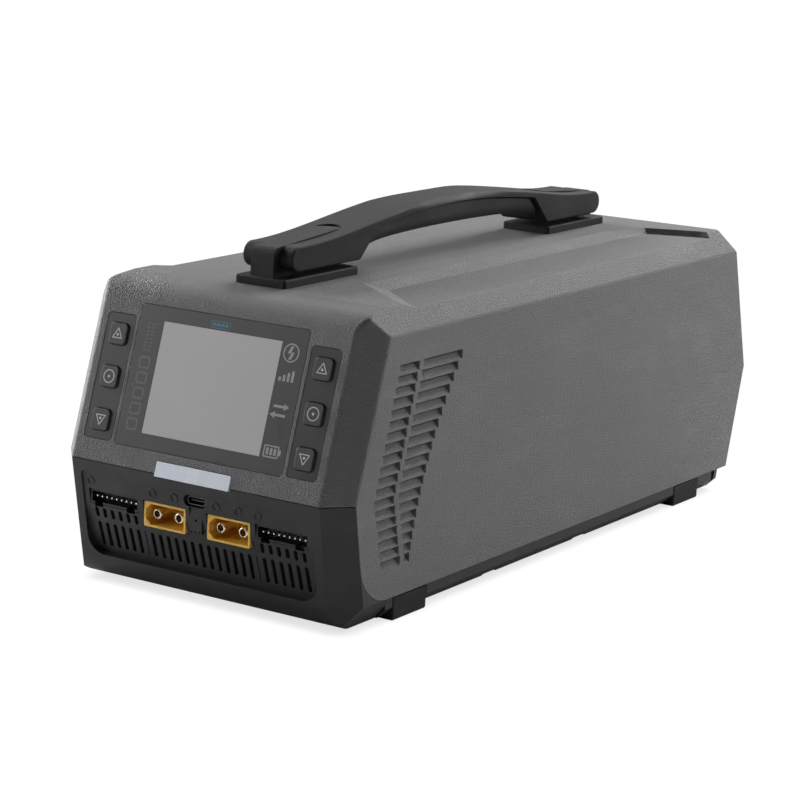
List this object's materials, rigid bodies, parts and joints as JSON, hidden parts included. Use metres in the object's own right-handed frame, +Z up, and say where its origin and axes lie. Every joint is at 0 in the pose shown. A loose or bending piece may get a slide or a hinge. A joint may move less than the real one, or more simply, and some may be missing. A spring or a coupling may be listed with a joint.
{
  "type": "balance battery charger",
  "caption": "Desktop battery charger with a sloping display face, push buttons, power and balance sockets, side louvres, rear fans and a carrying handle.",
  "frame": {"origin": "centre of the bounding box on the plane that the feet stand on", "axes": "+Z up, +Y from the display face towards the fans, +X to the right of someone facing the display"},
  "size_m": [0.141, 0.3346, 0.1502],
  "materials": {
    "grey_shell": "fine pebbled grain, matt",
    "handle_grey": "fine pebbled grain, matt",
    "grip_grey": "matt soft-touch",
    "black_bezel": "fine matt texture",
    "black_tray": "fine matt texture",
    "foot_rubber": "matt",
    "dark_screw": "black oxide, satin",
    "steel_pin": "satin",
    "fan_frame_black": "satin",
    "fan_blade_black": "satin",
    "guard_wire": "bright nickel wire",
    "inlet_black": "satin",
    "plated_contact": "bright plated",
    "header_pin": "bright tinned",
    "amber_socket": "moulded, satin",
    "header_black": "moulded, satin",
    "usb_steel": "satin, dark plated",
    "usb_tongue_black": "moulded",
    "overlay_print": "printed film, satin",
    "strip_print": "printed film, satin",
    "screen_glass": "blank screen behind clear lens, satin",
    "lcd_metal": "satin",
    "button_rubber": "matt",
    "light_diffuser": "milky translucent",
    "board_green": "solder mask",
    "switch_body": "moulded",
    "brass_spacer": "turned",
    "sink_aluminium": "extruded, satin",
    "ferrite": "sintered, matt",
    "capacitor_sleeve": "sleeved can"
  },
  "bodies": {
    "charger": {"ac_inlet": "inlet_black", "ac_inlet_blades": "plated_contact", "base_screws": "dark_screw", "base_tray": "black_tray", "blanking_plate": "black_bezel", "board_screws": "dark_screw", "board_spacers": "brass_spacer", "capacitors": "capacitor_sleeve", "charge_board": "board_green", "connector_board": "board_green", "control_board": "board_green", "dc_inlet_contacts": "plated_contact", "dc_inlet_socket": "amber_socket", "display_overlay": "overlay_print", "display_window": "screen_glass", "fan_guards": "guard_wire", "fan_screws": "dark_screw", "front_bezel": "black_bezel", "front_feet": "foot_rubber", "handle_front_mount": "handle_grey", "handle_grip": "grip_grey", "handle_pins": "steel_pin", "handle_rear_mount": "handle_grey", "handle_screws": "dark_screw", "handle_strap": "handle_grey", "heatsinks": "sink_aluminium", "inductors": "ferrite", "lcd_module": "lcd_metal", "left_balance_header": "header_black", "left_balance_pins": "header_pin", "left_button_strip": "strip_print", "left_fan_frame": "fan_frame_black", "left_output_contacts": "plated_contact", "left_output_socket": "amber_socket", "light_bar": "light_diffuser", "light_board": "board_green", "port_boards": "board_green", "power_board": "board_green", "rear_bezel": "black_bezel", "rear_feet": "foot_rubber", "right_balance_header": "header_black", "right_balance_pins": "header_pin", "right_button_strip": "strip_print", "right_fan_frame": "fan_frame_black", "right_output_contacts": "plated_contact", "right_output_socket": "amber_socket", "standoffs": "brass_spacer", "tact_switches": "switch_body", "transformers": "ferrite", "upper_shell": "grey_shell", "usb_socket": "usb_steel", "usb_tongue": "usb_tongue_black"},
    "left_up_key": {"left_up_button": "button_rubber"},
    "left_set_key": {"left_set_button": "button_rubber"},
    "left_down_key": {"left_down_button": "button_rubber"},
    "right_up_key": {"right_up_button": "button_rubber"},
    "right_set_key": {"right_set_button": "button_rubber"},
    "right_down_key": {"right_down_button": "button_rubber"},
    "left_fan": {"left_fan_rotor": "fan_blade_black"},
    "right_fan": {"right_fan_rotor": "fan_blade_black"}
  },
  "joints": [
    {"name": "left_up_press", "type": "slide", "parent": "charger", "child": "left_up_key", "axis": [0, 0.9537, -0.3007], "range_m": [0, 0.0006], "stiffness_N_per_m": 1500},
    {"name": "left_set_press", "type": "slide", "parent": "charger", "child": "left_set_key", "axis": [0, 0.9537, -0.3007], "range_m": [0, 0.0006], "stiffness_N_per_m": 1500},
    {"name": "left_down_press", "type": "slide", "parent": "charger", "child": "left_down_key", "axis": [0, 0.9537, -0.3007], "range_m": [0, 0.0006], "stiffness_N_per_m": 1500},
    {"name": "right_up_press", "type": "slide", "parent": "charger", "child": "right_up_key", "axis": [0, 0.9537, -0.3007], "range_m": [0, 0.0006], "stiffness_N_per_m": 1500},
    {"name": "right_set_press", "type": "slide", "parent": "charger", "child": "right_set_key", "axis": [0, 0.9537, -0.3007], "range_m": [0, 0.0006], "stiffness_N_per_m": 1500},
    {"name": "right_down_press", "type": "slide", "parent": "charger", "child": "right_down_key", "axis": [0, 0.9537, -0.3007], "range_m": [0, 0.0006], "stiffness_N_per_m": 1500},
    {"name": "left_fan_spin", "type": "hinge", "parent": "charger", "child": "left_fan", "pos_m": [-0.031, 0.15814, 0.09072], "axis": [0, 0.9646, 0.2639], "continuous": true},
    {"name": "right_fan_spin", "type": "hinge", "parent": "charger", "child": "right_fan", "pos_m": [0.031, 0.15814, 0.09072], "axis": [0, 0.9646, 0.2639], "continuous": true}
  ]
}
